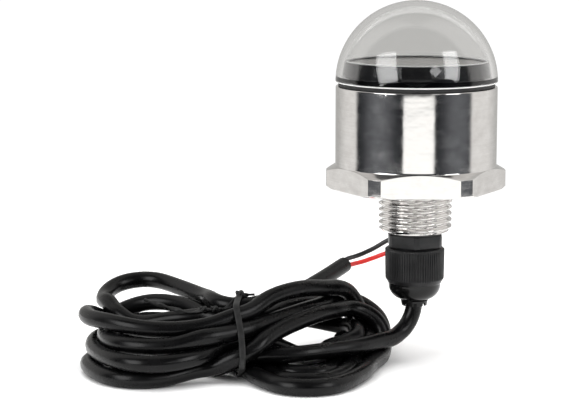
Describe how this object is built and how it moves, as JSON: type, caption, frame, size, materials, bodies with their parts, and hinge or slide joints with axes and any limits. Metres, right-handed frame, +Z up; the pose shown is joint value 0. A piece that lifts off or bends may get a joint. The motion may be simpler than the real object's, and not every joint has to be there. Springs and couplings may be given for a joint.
{
  "type": "navigation light",
  "caption": "LED navigation light: clear dome on a polished hexagon-based housing with a threaded stem, cable gland and a tied hank of cable with stripped wires.",
  "frame": {"origin": "on the light's axis, in the plane of the hexagon's underside, which seats on the surface that the stem screws into", "axes": "+Z up the light's axis towards the dome; -Y towards the flat of the hexagon that faces the viewer; the cable hank lies towards -X"},
  "size_m": [0.1215, 0.0796, 0.1031],
  "materials": {
    "stainless_steel": "turned and polished",
    "clear_acrylic": "polished",
    "frosted_acrylic": "frosted",
    "black_rubber": "matt",
    "aluminium": "as turned",
    "circuit_board": "black solder mask",
    "led_phosphor": "satin",
    "ferrite": "matt",
    "black_nylon": "moulded satin",
    "tie_plastic": "satin",
    "cable_jacket": "smooth satin",
    "red_insulation": "satin",
    "black_insulation": "satin",
    "tinned_copper": "bright strands"
  },
  "bodies": {
    "light": {"housing": "stainless_steel", "lens_dome": "clear_acrylic", "lens_gasket": "black_rubber", "heat_spreader": "aluminium", "led_board": "circuit_board", "driver_board": "circuit_board", "led_1": "led_phosphor", "led_2": "led_phosphor", "led_3": "led_phosphor", "led_4": "led_phosphor", "led_5": "led_phosphor", "led_6": "led_phosphor", "pillar_1": "aluminium", "pillar_2": "aluminium", "pillar_3": "aluminium", "board_screw_1": "stainless_steel", "board_screw_2": "stainless_steel", "board_screw_3": "stainless_steel", "driver_coil": "ferrite", "driver_capacitor": "aluminium", "led_lead_red": "red_insulation", "led_lead_black": "black_insulation", "gland_body": "black_nylon", "gland_washer": "black_rubber", "gland_seal": "black_rubber", "cable_inner": "cable_jacket", "core_red": "red_insulation", "core_black": "black_insulation", "cable_lead": "cable_jacket", "cable_hank": "cable_jacket", "cable_tie": "tie_plastic", "cable_tail": "cable_jacket", "wire_black": "black_insulation", "wire_red": "red_insulation", "wire_tip_black": "tinned_copper", "wire_tip_red": "tinned_copper", "led_bezel": "black_nylon", "light_diffuser": "frosted_acrylic"},
    "clamp": {"clamp_insert": "black_nylon"},
    "nut": {"gland_nut": "black_nylon"}
  },
  "joints": [
    {"name": "clamp_travel", "type": "slide", "parent": "light", "child": "clamp", "axis": [0, 0, -1], "range_m": [0, 0.0023]},
    {"name": "nut_turn", "type": "hinge", "parent": "clamp", "child": "nut", "pos_m": [0, 0, -0.025], "axis": [0, 0, -1], "range_deg": [0, 540]}
  ],
  "couplings": [
    {"joint": "clamp_travel", "follows": "nut_turn", "m_per_rad": 0.00023873}
  ]
}
